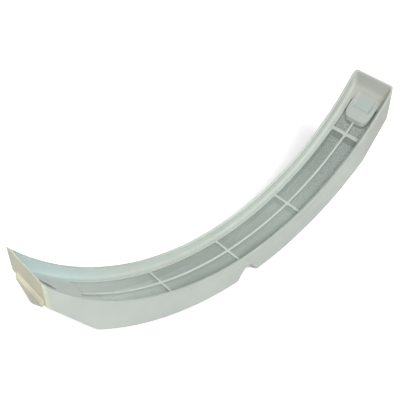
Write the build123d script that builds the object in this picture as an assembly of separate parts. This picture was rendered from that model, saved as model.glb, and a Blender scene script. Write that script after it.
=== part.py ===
"""Lint filter of a tumble dryer: a curved moulded channel with a ribbed floor over a woven mesh strip."""
import os
from math import asin, degrees, sqrt

from build123d import *

# Driving dimensions, in millimetres and degrees

# Channel: X runs along it, Y across it, and both walls are arcs about one line along Y, at X = 0
RIM_RADIUS = 200.0
TROUGH_DEPTH = 8.0
FLOOR_THICKNESS = 2.5
WALL_HEIGHT = 23.0
WIDTH = 42.0
WALL = 2.0
TROUGH_ROUND = 2.8
END_ROUND = 12.0
RIM_CHAMFER = 0.4
SKIRT_ANGLE = 38.2
SKIRT_ROUND = 14.0

# Grip end, at +X: its reach from the arc's axis, the level top of its wall and the wall's height
GRIP_SPAN = 166.6
GRIP_LAND = 1.5
GRIP_END_HEIGHT = 23.7
GRIP_CORNER_RADIUS = 5.0

# Lip end, at -X: the rim runs out to a point here
LIP_SPAN = 168.5
LIP_END_HEIGHT = 21.0

# Floor grid: ribs across and along it, and webs under the cross ribs that stand clear of the notch
RIB = 1.9
BAYS_PER_SIDE = 2
LEDGE = 5.0
WINDOW_ROUND = 1.0
WEB_DEPTH = 5.5

# Mesh strip, moulded into the middle of the floor's thickness
MESH_THICKNESS = 0.5
MESH_LAP = 1.5

# Finger grip: a raised tongue with a pocket, and a slit along each side
GRIP_SETBACK = 6.9
GRIP_LENGTH = 12.4
GRIP_GAP = 7.7
GRIP_RISE = 3.2
GRIP_RUN_OUT = 4.5
GRIP_TIP_ROUND = 6.5
GRIP_EDGE_ROUND = 1.0
SLIT = 1.4
POCKET_WIDTH = 17.5
POCKET_BAND = 7.0
POCKET_ROUND = 1.2

# Locating lip on the end wall at -X: a sloping ledge, and a tab that narrows to a rounded tip
LIP_WIDTH = 31.0
LIP_OFFSET = -2.2
LIP_REACH = 2.1
LIP_THICKNESS = 2.4
LIP_LAP = 4.4
LIP_LEDGE_FALL = 2.4
LIP_SIDE_DROP = 1.2
LIP_DROP = 11.3
LIP_TIP_ROUND = 4.3
LIP_ROUND = 0.9

# Half-round locating slot through the floor, with its straight side towards the end wall at -X
SLOT_RADIUS = 10.3
SLOT_SETBACK = 5.0
SLOT_ROUND = 1.2

# Notch in the skirt of the front wall
NOTCH_OFFSET = 3.0
NOTCH_MOUTH = 22.0
NOTCH_TOP = 6.0
NOTCH_DEPTH = 10.5
NOTCH_ROUND = 2.5

# Distance within which an edge or a corner counts as lying on a face or at a point
TOUCH = 0.01

# Worked out from the driving dimensions
ARC_HEIGHT = RIM_RADIUS + WALL_HEIGHT
FLOOR_RADIUS = RIM_RADIUS + TROUGH_DEPTH
UNDER_RADIUS = FLOOR_RADIUS + FLOOR_THICKNESS
MESH_RADIUS = FLOOR_RADIUS + (FLOOR_THICKNESS - MESH_THICKNESS) / 2
INNER_GRIP_X = GRIP_SPAN - WALL
INNER_LIP_X = LIP_SPAN - WALL
INNER_Y = WIDTH / 2 - WALL
WINDOW_Y = INNER_Y - LEDGE
GRIP_ROOT_X = INNER_GRIP_X - GRIP_SETBACK
GRIP_TIP_X = GRIP_ROOT_X - GRIP_LENGTH
GRIP_END_X = GRIP_ROOT_X + GRIP_RUN_OUT
LAST_RIB_X = GRIP_TIP_X - GRIP_GAP - RIB / 2
RIB_PITCH = LAST_RIB_X / BAYS_PER_SIDE
RIBS_X = [RIB_PITCH * i for i in range(-BAYS_PER_SIDE, BAYS_PER_SIDE + 1)]


def height_on(radius, x):
    """Height at x of the arc of this radius."""
    return ARC_HEIGHT - sqrt(radius**2 - x**2)


GRIP_TOP = height_on(RIM_RADIUS, GRIP_SPAN - GRIP_LAND)
LIP_TOP = height_on(RIM_RADIUS, LIP_SPAN)
GRIP_END_FOOT = GRIP_TOP - GRIP_END_HEIGHT
LIP_END_FOOT = LIP_TOP - LIP_END_HEIGHT


def disc(radius):
    """Solid cylinder about the channel's arc axis, wider than the channel."""
    return Pos(0, 0, ARC_HEIGHT) * Rot(90, 0, 0) * Cylinder(radius, 2 * WIDTH)


def across(outline, half_width):
    """Extrudes a side-view outline, drawn in X and Z, to both sides of the middle plane."""
    return extrude(Plane.XZ * outline, amount=half_width, both=True)


def upright(outline):
    """Extrudes a plan outline, drawn in X and Y, through the channel's whole height."""
    return extrude(outline, amount=ARC_HEIGHT)


def corners_at(outline, points):
    """The outline's vertices that lie at the given points."""
    return [v for v in outline.vertices() if any((v.center() - p).length < TOUCH for p in points)]


def strip(x_from, x_to, half_width):
    """Plan rectangle between two stations along the channel."""
    return Pos((x_from + x_to) / 2, 0) * Rectangle(x_to - x_from, 2 * half_width)


def channel_plan(inset):
    """Plan outline of the channel, drawn in by an inset, with the corners of its grip end rounded."""
    plan = strip(-LIP_SPAN + inset, GRIP_SPAN - inset, WIDTH / 2 - inset)
    return fillet(plan.vertices().sort_by(Axis.X)[-2:], GRIP_CORNER_RADIUS - inset)


def wall_block():
    """The channel's outer form: rounded corners in plan, concave rim, convex skirt and raked ends."""
    skirt = CenterArc((0, ARC_HEIGHT), ARC_HEIGHT, 270 - SKIRT_ANGLE, 2 * SKIRT_ANGLE)
    ends = Polyline(
        skirt @ 1,
        (GRIP_SPAN, GRIP_END_FOOT),
        (GRIP_SPAN, GRIP_TOP),
        (0, GRIP_TOP),
        (-LIP_SPAN, LIP_TOP),
        (-LIP_SPAN, LIP_END_FOOT),
        skirt @ 0,
    )
    outline = make_face([skirt, *ends.edges()])
    outline = fillet(corners_at(outline, [skirt @ 0, skirt @ 1]), SKIRT_ROUND)
    return (upright(channel_plan(0)) & across(outline, WIDTH)) - disc(RIM_RADIUS)


def trough():
    """The hollow over the floor, with its sides and ends rounded into the floor."""
    lip_angle = degrees(asin(INNER_LIP_X / FLOOR_RADIUS))
    grip_angle = degrees(asin(INNER_GRIP_X / FLOOR_RADIUS))
    floor = CenterArc((0, ARC_HEIGHT), FLOOR_RADIUS, 270 - lip_angle, lip_angle + grip_angle)
    sides = Polyline(floor @ 1, (INNER_GRIP_X, ARC_HEIGHT), (-INNER_LIP_X, ARC_HEIGHT), floor @ 0)
    outline = make_face([floor, *sides.edges()])
    outline = fillet(corners_at(outline, [floor @ 0, floor @ 1]), END_ROUND)
    hollow = across(outline, INNER_Y)
    side_faces = hollow.faces().filter_by(Axis.Y)
    lower = [e for e in side_faces.edges() if e.center().Z < ARC_HEIGHT - TOUCH]
    return fillet(lower, TROUGH_ROUND)


def underside():
    """The hollow between the skirts, below the floor."""
    return upright(channel_plan(WALL)) - disc(UNDER_RADIUS)


def grip_plan():
    """Plan outline of the finger grip, with a rounded tip."""
    plan = strip(GRIP_TIP_X, GRIP_END_X, WINDOW_Y - SLIT)
    return fillet(plan.vertices().sort_by(Axis.X)[:2], GRIP_TIP_ROUND)


def grip():
    """The grip's raised tongue: highest at its tip, running out into the floor, with a finger pocket."""
    slope = Polyline(
        (GRIP_TIP_X, height_on(FLOOR_RADIUS, GRIP_TIP_X) + GRIP_RISE),
        (GRIP_END_X, height_on(FLOOR_RADIUS, GRIP_END_X)),
        (GRIP_END_X, 0),
        (GRIP_TIP_X, 0),
        close=True,
    )
    tongue = upright(grip_plan()) & across(make_face(slope), WIDTH)
    top_face = tongue.faces().sort_by(Axis.Z)[-1]
    top_edges = [e for e in top_face.edges() if e.center().X < GRIP_END_X - TOUCH]
    tongue = fillet(top_edges, GRIP_EDGE_ROUND) & disc((FLOOR_RADIUS + MESH_RADIUS) / 2)
    pocket = strip(GRIP_TIP_X + POCKET_BAND, INNER_GRIP_X, POCKET_WIDTH / 2)
    pocket = fillet(pocket.vertices().sort_by(Axis.X)[:2], POCKET_ROUND)
    return tongue - (upright(pocket) & disc(FLOOR_RADIUS))


def slot():
    """Plan outline of the half-round locating slot."""
    half_round = Circle(SLOT_RADIUS) & strip(0, SLOT_RADIUS, SLOT_RADIUS)
    half_round = fillet(half_round.vertices(), SLOT_ROUND)
    return Pos(SLOT_SETBACK - INNER_LIP_X, 0) * half_round


def windows():
    """Plan outline of the floor's openings: two panes in each bay, the one around the grip, and the slot."""
    pane_width = WINDOW_Y - RIB / 2
    pane = RectangleRounded(RIB_PITCH - RIB, pane_width, WINDOW_ROUND)
    pane_y = (WINDOW_Y + RIB / 2) / 2
    around_grip = strip(LAST_RIB_X + RIB / 2, GRIP_ROOT_X, WINDOW_Y) - grip_plan()
    around_grip -= strip(LAST_RIB_X, GRIP_TIP_X + GRIP_TIP_ROUND, RIB / 2)
    panes = [Pos(x + RIB_PITCH / 2, side * pane_y) * pane for x in RIBS_X[:-1] for side in (-1, 1)]
    return Sketch() + panes + around_grip + slot()


def webs():
    """Plates under the cross ribs, from skirt to skirt, apart from the one over the notch."""
    plates = []
    for x in RIBS_X:
        if abs(x) > NOTCH_MOUTH:
            foot = height_on(UNDER_RADIUS, x) - WEB_DEPTH
            head = height_on(UNDER_RADIUS - FLOOR_THICKNESS / 2, x)
            plates.append(Pos(x, 0, (foot + head) / 2) * Box(RIB, WIDTH - WALL, head - foot))
    return plates


def notch():
    """Cutter for the notch in the front wall's skirt."""
    top, mouth = NOTCH_TOP / 2, NOTCH_MOUTH / 2
    outline = make_face(
        Polyline(
            (-mouth, -WALL),
            (-mouth, 0),
            (-top, NOTCH_DEPTH),
            (top, NOTCH_DEPTH),
            (mouth, 0),
            (mouth, -WALL),
            close=True,
        )
    )
    outline = fillet(outline.vertices().sort_by(Axis.Y)[-2:], NOTCH_ROUND)
    return Pos(NOTCH_OFFSET, -WIDTH / 2, 0) * across(outline, 2 * WALL)


def lip():
    """Locating lip: a ledge on the end wall's face, with a tab that hangs below the wall."""
    face_x = -LIP_SPAN - LIP_REACH
    root_x = -LIP_SPAN + WALL / 2
    ledge_top = LIP_END_FOOT + LIP_LAP
    tip = LIP_END_FOOT - LIP_DROP
    section = Polyline(
        (root_x, ledge_top),
        (-LIP_SPAN, ledge_top),
        (face_x, ledge_top - LIP_LEDGE_FALL),
        (face_x, tip),
        (face_x + LIP_THICKNESS, tip),
        (root_x, LIP_END_FOOT),
        close=True,
    )
    shoulder = LIP_END_FOOT - LIP_SIDE_DROP
    front_view = make_face(
        Polyline(
            (-LIP_WIDTH / 2, LIP_TOP),
            (-LIP_WIDTH / 2, shoulder),
            (0, tip),
            (LIP_WIDTH / 2, shoulder),
            (LIP_WIDTH / 2, LIP_TOP),
            close=True,
        )
    )
    front_view = fillet(front_view.vertices().sort_by(Axis.Y)[0], LIP_TIP_ROUND)
    tab = across(make_face(section), WIDTH) & extrude(Plane.YZ * front_view, amount=2 * LIP_SPAN, both=True)
    outer_face = tab.faces().sort_by(Axis.X)[0]
    return Pos(0, LIP_OFFSET, 0) * fillet(outer_face.edges(), LIP_ROUND)


def mesh_screen():
    """The mesh strip: one bent sheet, with its edges in the ledges and through every rib."""
    plan = strip(-LAST_RIB_X - MESH_LAP, GRIP_ROOT_X + MESH_LAP, WINDOW_Y + MESH_LAP)
    return upright(plan) & (disc(MESH_RADIUS + MESH_THICKNESS) - disc(MESH_RADIUS))


def on_rim(edge):
    """Whether an edge bounds the walls' upper face, apart from its sharp end and its land's crease."""
    points = [edge @ t for t in (0, 0.5, 1)]
    if all(p.X < -LIP_SPAN + TOUCH for p in points):
        return False
    on_arc = [abs(sqrt(p.X**2 + (p.Z - ARC_HEIGHT) ** 2) - RIM_RADIUS) < TOUCH for p in points]
    on_land = [abs(p.Z - GRIP_TOP) < TOUCH and p.X > GRIP_TIP_X for p in points]
    return all(on_arc) != all(on_land)


def filter_frame():
    """The one-piece moulding, with the mesh strip's place left free in its floor."""
    frame = wall_block() - trough() - underside() + webs()
    frame = frame - upright(windows()) + grip() - notch() + lip()
    rim_edges = [e for e in frame.edges() if on_rim(e)]
    return chamfer(rim_edges, RIM_CHAMFER) - mesh_screen()


# The lip makes the part longer at -X, so the arc's axis stands off the middle of the part's length
PLACE = Pos((LIP_SPAN + LIP_REACH - GRIP_SPAN) / 2, 0, 0)

os.makedirs("parts", exist_ok=True)
for name, solid in (("filter_frame", filter_frame()), ("mesh_screen", mesh_screen())):
    export_step(PLACE * solid, f"parts/{name}.step")
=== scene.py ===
"""Studio scene of a tumble dryer lint filter: satin plastic moulding and woven mesh strip."""
from math import asin, radians

import bpy
import numpy as np
from mathutils import Euler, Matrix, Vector


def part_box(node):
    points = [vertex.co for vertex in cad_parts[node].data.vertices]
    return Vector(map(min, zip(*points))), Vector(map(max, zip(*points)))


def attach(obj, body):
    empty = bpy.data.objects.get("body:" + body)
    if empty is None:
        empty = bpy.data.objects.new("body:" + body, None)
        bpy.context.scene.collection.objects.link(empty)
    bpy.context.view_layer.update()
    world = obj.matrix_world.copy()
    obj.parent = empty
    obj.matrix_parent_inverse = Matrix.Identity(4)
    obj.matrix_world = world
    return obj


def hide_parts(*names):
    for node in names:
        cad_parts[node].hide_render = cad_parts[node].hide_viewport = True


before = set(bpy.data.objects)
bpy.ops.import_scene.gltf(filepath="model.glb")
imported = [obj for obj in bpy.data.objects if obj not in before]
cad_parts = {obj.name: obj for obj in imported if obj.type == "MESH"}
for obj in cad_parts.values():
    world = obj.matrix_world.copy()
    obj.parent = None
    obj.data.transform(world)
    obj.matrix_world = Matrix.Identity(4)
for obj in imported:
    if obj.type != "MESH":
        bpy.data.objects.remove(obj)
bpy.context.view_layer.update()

# Camera, in metres and degrees, as fitted to the photograph's curves
CAMERA_AT = (-0.27005, -0.2870, 0.4146)
CAMERA_TURN = (48.86, 0.57, -40.79)
CAMERA_VIEW = 32.44

# The channel and its mesh strip are bent about a line along Y
ARC_X = 0.002
ARC_Z = 0.223
MESH_RADIUS = 0.20925

# Plain weave: spacing and width of the threads, and how far each one rises and dips at a crossing
THREAD_PITCH = 0.0006
THREAD_WIDTH = 0.00042
THREAD_CRIMP = 0.00009

# Colours, linear. The floor has one for the light that it throws back, and one for what is seen of it
PLASTIC = (0.54, 0.59, 0.54)
PLASTIC_SHADE = (0.51, 0.56, 0.515)
# Cooler tint: a painted cast of cool light
PLASTIC_COOL_CAST = (0.47, 0.57, 0.56)
PLASTIC_AGED = (0.69, 0.68, 0.505)
# Darker lip colour: painted shade
PLASTIC_LIP_SHADE = (0.52, 0.51, 0.385)
# Dark colour for the sides of the slot: painted shade
PLASTIC_SLOT_SHADE = (0.19, 0.25, 0.23)
# Painted shade along the rims
PLASTIC_RIM_SHADE = (0.38, 0.42, 0.38)
# Greyer plastic: painted shade at the foot of the rear wall, and a greyer floor by the lip
PLASTIC_GREYER = (0.465, 0.505, 0.465)
# Greyer colour for the grip end: painted shade
PLASTIC_GRIP_END_SHADE = (0.455, 0.48, 0.435)
# Darker colour for the finger grip: painted shade
PLASTIC_GRIP_SHADE = (0.435, 0.475, 0.435)
# Darker colour for the finger pocket: painted shade in the recess
PLASTIC_POCKET_SHADE = (0.42, 0.49, 0.46)
# Darker, warmer colour for the end wall by the grip: painted shade
PLASTIC_END_WALL_SHADE = (0.525, 0.54, 0.49)
# Paler colour for the edges: a painted highlight
PLASTIC_EDGE_HIGHLIGHT = (0.67, 0.71, 0.67)
# Paler thread colour for the lip end: a painted sheen
THREAD_LIP_END_SHEEN = (0.48, 0.54, 0.49)
THREAD = (0.315, 0.375, 0.335)
# Darker thread colour: random soiling, and painted shade towards the grip
THREAD_SOIL_AND_SHADE = (0.185, 0.225, 0.195)
FLOOR = (0.22, 0.22, 0.22)
FLOOR_SEEN = (1.3, 1.3, 1.3)
WHITE = (1.0, 1.0, 1.0)

# Where the plastic is tinted: its colour there, and where the tint starts and is full,
# in metres along X and Y and as the distance from the line of bending. The lip end is aged yellow
# and the floor by it greyer; the rest is painted shade, with painted cool light inside the rear wall by the
# lip
CHANGED = {
    # Painted shade along the rim of the front wall
    "rim of the front wall": (PLASTIC_RIM_SHADE, [("radius", 0.2008, 0.2003), ("Y", -0.0170, -0.0190)]),
    # Painted shade at the foot of the rear wall, where it meets the ledge
    "foot of the rear wall": (
        PLASTIC_GREYER,
        [("radius", 0.2045, 0.2062), ("Y", 0.0120, 0.0150), ("Y", 0.0205, 0.0195)],
    ),
    "floor by the lip": (
        PLASTIC_GREYER,
        [("radius", 0.2035, 0.2060), ("X", -0.125, -0.138), ("Y", -0.0205, -0.0195), ("Y", 0.0145, 0.0120)],
    ),
    # Painted cool light on the inside of the rear wall near the lip
    "inside of the rear wall near the lip": (
        PLASTIC_COOL_CAST,
        [("X", -0.075, -0.140), ("Y", 0.010, 0.018), ("Y", 0.0208, 0.0195)],
    ),
    # Painted shade along the rim of the rear wall near the lip
    "rim of the rear wall near the lip": (
        PLASTIC_RIM_SHADE,
        [("X", -0.010, -0.080), ("radius", 0.2008, 0.2003), ("Y", 0.0170, 0.0190)],
    ),
    # Painted shade on the sides of the slot
    "sides of the slot": (
        PLASTIC_SLOT_SHADE,
        [
            ("X", -0.1485, -0.1490),
            ("X", -0.1615, -0.1605),
            ("Y", -0.0110, -0.0106),
            ("Y", 0.0110, 0.0106),
            ("radius", 0.2082, 0.2087),
            ("radius", 0.2104, 0.2100),
        ],
    ),
    "lip end": (PLASTIC_AGED, [("X", -0.1625, -0.1667)]),
    # Painted shade on the front half of the lip
    "front half of the lip": (PLASTIC_LIP_SHADE, [("X", -0.1667, -0.1674), ("Y", 0.002, -0.008)]),
    # Painted shade towards the grip end
    "grip end": (PLASTIC_GRIP_END_SHADE, [("X", 0.115, 0.158)]),
    # Painted shade on the finger grip
    "finger grip": (
        PLASTIC_GRIP_SHADE,
        [("X", 0.1455, 0.1485), ("X", 0.1660, 0.1590), ("Y", -0.0150, -0.0122), ("Y", 0.0150, 0.0122)],
    ),
    # Painted shade in the finger pocket
    "finger pocket": (
        PLASTIC_POCKET_SHADE,
        [("X", 0.1539, 0.1545), ("X", 0.1640, 0.1590), ("Y", -0.0090, -0.0086), ("Y", 0.0090, 0.0086)],
    ),
    # Painted shade on the end wall by the grip
    "end wall by the grip": (PLASTIC_END_WALL_SHADE, [("X", 0.1645, 0.1662)]),
}

# The mesh is paler towards the lip end, a painted sheen, and darker towards the finger grip, painted shade
PAINTED_SHEEN_X = (-0.045, -0.150)
PAINTED_SHADE_X = (0.055, 0.140)

# Finish of the plastic and the thread: noise in cycles a metre, the span of it that counts,
# and the shares and roughness that come of it
NOISE_DETAIL = 2.0
CLOUD_NOISE = 28.0
CLOUD_SPAN = (0.35, 0.65)
PATCH_NOISE = 70.0
PATCH_SPAN = (0.2, 0.6)
PATCH_SHARE = (0.6, 1.0)
SOIL_NOISE = 45.0
SOIL_SPAN = (0.3, 0.8)
SOIL_SHARE = (0.0, 0.25)
GLOSS_SPAN = (0.3, 0.7)
PLASTIC_GLOSS_NOISE = 160.0
PLASTIC_ROUGHNESS = (0.50, 0.62)
THREAD_GLOSS_NOISE = 900.0
THREAD_ROUGHNESS = (0.42, 0.60)
GRAIN_NOISE = 2600.0
GRAIN_STRENGTH = 0.12
GRAIN_DEPTH = 0.0001

# Edges of the plastic: their rounding, the cosines of the normal's turn between which their paler colour,
# a painted highlight, sets in, and the share of that colour
EDGE_RADIUS = 0.0007
EDGE_SAMPLES = 4
EDGE_TURN = (0.99, 0.80)
EDGE_SHARE = (0.0, 0.5)

# Studio, in metres and watts
FLOOR_SIZE = 8.0
FLOOR_GAP = 0.0003
FLOOR_FADE = (0.30, 0.75)
SKY_STRENGTH = 0.42
SKY_SEEN_STRENGTH = 1.0
LAMP_AIM = (0.0, 0.0, 0.05)
LAMPS = {
    "key": {"at": (-0.38, -1.02, 1.16), "size": 0.6, "power": 22.0},
    "lip_fill": {"at": (-1.40, -0.20, 0.50), "size": 0.8, "power": 2.0},
    "grip_fill": {"at": (1.40, 0.10, 0.16), "size": 0.3, "power": 4.0},
    "back": {"at": (0.25, 1.40, 0.42), "size": 0.7, "power": 9.0},
}


def rgba(colour):
    """A colour with full alpha, as sockets want it."""
    return (*colour, 1.0)


class Nodes:
    """The node tree of a material or of the sky, with short calls to add and join its nodes."""

    def __init__(self, owner):
        self.owner = owner
        owner.use_nodes = True
        self.tree = owner.node_tree
        self.tree.nodes.clear()

    def add(self, kind, values=(), **settings):
        """A new node with its settings, and its input sockets set or linked by name or number."""
        node = self.tree.nodes.new(kind)
        for key, value in settings.items():
            setattr(node, key, value)
        for key, value in dict(values).items():
            if isinstance(value, bpy.types.NodeSocket):
                self.tree.links.new(value, node.inputs[key])
            else:
                node.inputs[key].default_value = value
        return node

    def noise(self, where, scale):
        """Noise of this many cycles in a metre."""
        values = {"Vector": where, "Scale": scale, "Detail": NOISE_DETAIL}
        return self.add("ShaderNodeTexNoise", values).outputs["Fac"]

    def ramp(self, value, low, high, to_low=0.0, to_high=1.0):
        """Smooth step of a value from one range to another."""
        values = {"Value": value, "From Min": low, "From Max": high, "To Min": to_low, "To Max": to_high}
        return self.add("ShaderNodeMapRange", values, interpolation_type="SMOOTHSTEP").outputs["Result"]

    def maths(self, operation, a, b):
        """Result of an operation on two values."""
        return self.add("ShaderNodeMath", {0: a, 1: b}, operation=operation).outputs["Value"]

    def vectors(self, operation, a, b, output):
        """Output of an operation on two vectors."""
        return self.add("ShaderNodeVectorMath", {0: a, 1: b}, operation=operation).outputs[output]

    def mix(self, share, first, second):
        """Blend of two colours."""
        node = self.add("ShaderNodeMix", data_type="RGBA")
        sockets = [s for s in node.inputs if s.type == "RGBA"]
        self.tree.links.new(share, node.inputs["Factor"])
        for socket, colour in zip(sockets, (first, second)):
            if isinstance(colour, bpy.types.NodeSocket):
                self.tree.links.new(colour, socket)
            else:
                socket.default_value = rgba(colour)
        return next(s for s in node.outputs if s.type == "RGBA")

    def seen(self):
        """1 for what the camera, reflections and clear things show, and 0 for light on other surfaces."""
        path = self.add("ShaderNodeLightPath").outputs
        mirrored = self.maths("MAXIMUM", path["Is Glossy Ray"], path["Is Transmission Ray"])
        return self.maths("MAXIMUM", path["Is Camera Ray"], mirrored)

    def finish(self, shader):
        """Sends a shader to the surface, and gives the finished material."""
        self.add("ShaderNodeOutputMaterial", {"Surface": shader.outputs[0]})
        return self.owner


def plastic_material():
    """Satin polypropylene: faint clouding, fine grain, a painted highlight on the edges, an aged lip end, a
    greyer floor by it, and painted shade and painted cool light elsewhere.
    """
    n = Nodes(bpy.data.materials.new("moulded_plastic"))
    where = n.add("ShaderNodeTexCoord").outputs["Object"]
    place = dict(n.add("ShaderNodeSeparateXYZ", {"Vector": where}).outputs.items())
    without_y = n.vectors("MULTIPLY", where, (1.0, 0.0, 1.0), "Vector")
    place["radius"] = n.vectors("DISTANCE", without_y, (ARC_X, 0.0, ARC_Z), "Value")
    colour = n.mix(n.ramp(n.noise(where, CLOUD_NOISE), *CLOUD_SPAN), PLASTIC, PLASTIC_SHADE)
    patches = n.ramp(n.noise(where, PATCH_NOISE), *PATCH_SPAN, *PATCH_SHARE)
    # Tints from the table: mostly painted shade, as well as the aged lip end
    for tint, limits in CHANGED.values():
        share = patches
        for measure, start, full in limits:
            share = n.maths("MULTIPLY", share, n.ramp(place[measure], start, full))
        colour = n.mix(share, colour, tint)
    rounded = n.add("ShaderNodeBevel", {"Radius": EDGE_RADIUS}, samples=EDGE_SAMPLES).outputs["Normal"]
    face = n.add("ShaderNodeNewGeometry").outputs["Normal"]
    # Paler colour where the rounded normal turns away from the face's: a painted highlight on the edges
    edge_highlight = n.ramp(n.vectors("DOT_PRODUCT", rounded, face, "Value"), *EDGE_TURN, *EDGE_SHARE)
    colour = n.mix(edge_highlight, colour, PLASTIC_EDGE_HIGHLIGHT)
    grain = {
        "Strength": GRAIN_STRENGTH,
        "Distance": GRAIN_DEPTH,
        "Height": n.noise(where, GRAIN_NOISE),
        "Normal": rounded,
    }
    values = {
        "Base Color": colour,
        "Roughness": n.ramp(n.noise(where, PLASTIC_GLOSS_NOISE), *GLOSS_SPAN, *PLASTIC_ROUGHNESS),
        "Normal": n.add("ShaderNodeBump", grain).outputs["Normal"],
        "Subsurface Weight": 0.15,
        "Subsurface Radius": (0.8, 1.0, 1.0),
        "Subsurface Scale": 0.002,
        "IOR": 1.49,
    }
    return n.finish(n.add("ShaderNodeBsdfPrincipled", values))


def thread_material():
    """Polyester monofilament: paler at the lip end as a painted sheen, darker towards the grip as painted
    shade, soiled in patches, and faintly uneven.
    """
    n = Nodes(bpy.data.materials.new("mesh_thread"))
    where = n.add("ShaderNodeTexCoord").outputs["Object"]
    x = n.add("ShaderNodeSeparateXYZ", {"Vector": where}).outputs["X"]
    # Paler towards the lip end: a painted sheen
    colour = n.mix(n.ramp(x, *PAINTED_SHEEN_X), THREAD, THREAD_LIP_END_SHEEN)
    colour = n.mix(n.ramp(n.noise(where, SOIL_NOISE), *SOIL_SPAN, *SOIL_SHARE), colour, THREAD_SOIL_AND_SHADE)
    # Darker towards the grip: painted shade
    colour = n.mix(n.ramp(x, *PAINTED_SHADE_X), colour, THREAD_SOIL_AND_SHADE)
    values = {
        "Base Color": colour,
        "Roughness": n.ramp(n.noise(where, THREAD_GLOSS_NOISE), *GLOSS_SPAN, *THREAD_ROUGHNESS),
        "Sheen Weight": 0.8,
        "Sheen Roughness": 0.5,
        "IOR": 1.57,
    }
    return n.finish(n.add("ShaderNodeBsdfPrincipled", values))


def floor_material():
    """Pale floor that looks white around the filter's shadow, and fades into the white sky further away."""
    n = Nodes(bpy.data.materials.new("studio_floor"))
    seen = n.seen()
    where = n.add("ShaderNodeNewGeometry").outputs["Position"]
    away = n.add("ShaderNodeVectorMath", {0: where}, operation="LENGTH").outputs["Value"]
    lit = n.add("ShaderNodeBsdfDiffuse", {"Color": n.mix(seen, FLOOR, FLOOR_SEEN)})
    plain = n.add("ShaderNodeEmission", {"Color": rgba(WHITE), "Strength": SKY_SEEN_STRENGTH})
    share = n.maths("MULTIPLY", seen, n.ramp(away, *FLOOR_FADE))
    faded = {0: share, 1: lit.outputs[0], 2: plain.outputs[0]}
    return n.finish(n.add("ShaderNodeMixShader", faded))


def on_arc(turn, y, radius):
    """Points at an angle from straight down round the line of bending."""
    turn, y, radius = np.broadcast_arrays(turn, y, radius)
    return np.stack([ARC_X + radius * np.sin(turn), y, ARC_Z - radius * np.cos(turn)], axis=-1)


def ribbons(points, first):
    """Faces of flat threads, from points by thread, then by its two edges, then by steps along it."""
    index = first + np.arange(points[..., 0].size).reshape(points.shape[:3])
    left, right = index[:, 0], index[:, 1]
    quads = [left[:, :-1], left[:, 1:], right[:, 1:], right[:, :-1]]
    return np.stack(quads, axis=-1).reshape(-1, 4)


def weave(name):
    """The mesh strip as a plain weave of flat threads, each going over one and under the next."""
    low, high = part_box("mesh_screen")
    turn_from, turn_to = (asin((x - ARC_X) / MESH_RADIUS) for x in (low.x, high.x))
    length, width = (turn_to - turn_from) * MESH_RADIUS, high.y - low.y
    half = THREAD_WIDTH / 2
    half_turn = half / MESH_RADIUS
    turns = np.linspace(turn_from + half_turn, turn_to - half_turn, round(length / THREAD_PITCH))
    rows = np.linspace(low.y + half, high.y - half, round(width / THREAD_PITCH))
    crossings = np.add.outer(np.arange(len(rows)), np.arange(len(turns)))
    over = THREAD_CRIMP * (1 - 2 * (crossings % 2))
    edges = np.array([-half, half])
    warp = on_arc(turns, rows[:, None, None] + edges[:, None], MESH_RADIUS - over[:, None])
    weft_turns = turns[:, None, None] - edges[:, None] / MESH_RADIUS
    weft = on_arc(weft_turns, rows, MESH_RADIUS + over.T[:, None])
    corners = np.concatenate([warp.reshape(-1, 3), weft.reshape(-1, 3)])
    faces = np.concatenate([ribbons(warp, 0), ribbons(weft, warp.size // 3)])
    mesh = bpy.data.meshes.new(name)
    mesh.from_pydata(corners.tolist(), [], faces.tolist())
    mesh.shade_smooth()
    piece = bpy.data.objects.new(name, mesh)
    bpy.context.scene.collection.objects.link(piece)
    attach(piece, "root")
    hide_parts("mesh_screen")
    return piece


def dress(piece, material):
    """Gives a piece this one material."""
    piece.data.materials.clear()
    piece.data.materials.append(material)


def studio():
    """White floor, soft key light from the front, weaker lamps at both ends and behind, and an even sky."""
    mesh = bpy.data.meshes.new("floor")
    sides = (-FLOOR_SIZE / 2, FLOOR_SIZE / 2)
    corners = [(x, y, -FLOOR_GAP) for x in sides for y in sides]
    mesh.from_pydata(corners, [], [(0, 2, 3, 1)])
    floor = bpy.data.objects.new("floor", mesh)
    bpy.context.scene.collection.objects.link(floor)
    dress(floor, floor_material())

    for name, lamp in LAMPS.items():
        data = bpy.data.lights.new(name, "AREA")
        data.size = lamp["size"]
        data.energy = lamp["power"]
        light = bpy.data.objects.new(name, data)
        light.location = lamp["at"]
        light.rotation_euler = (light.location - Vector(LAMP_AIM)).to_track_quat("Z", "Y").to_euler()
        bpy.context.scene.collection.objects.link(light)

    bpy.context.scene.world = bpy.data.worlds.new("sky")
    n = Nodes(bpy.context.scene.world)
    strength = n.ramp(n.seen(), 0.0, 1.0, SKY_STRENGTH, SKY_SEEN_STRENGTH)
    sky = n.add("ShaderNodeBackground", {"Color": rgba(WHITE), "Strength": strength})
    n.add("ShaderNodeOutputWorld", {"Surface": sky.outputs[0]})


def camera():
    """Camera at the photograph's viewpoint."""
    data = bpy.data.cameras.new("camera")
    data.angle = radians(CAMERA_VIEW)
    view = bpy.data.objects.new("camera", data)
    view.location = CAMERA_AT
    view.rotation_euler = Euler([radians(turn) for turn in CAMERA_TURN])
    bpy.context.scene.collection.objects.link(view)
    bpy.context.scene.camera = view


dress(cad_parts["filter_frame"], plastic_material())
dress(weave("woven_mesh"), thread_material())
studio()
camera()
bpy.context.scene.view_settings.view_transform = "Standard"
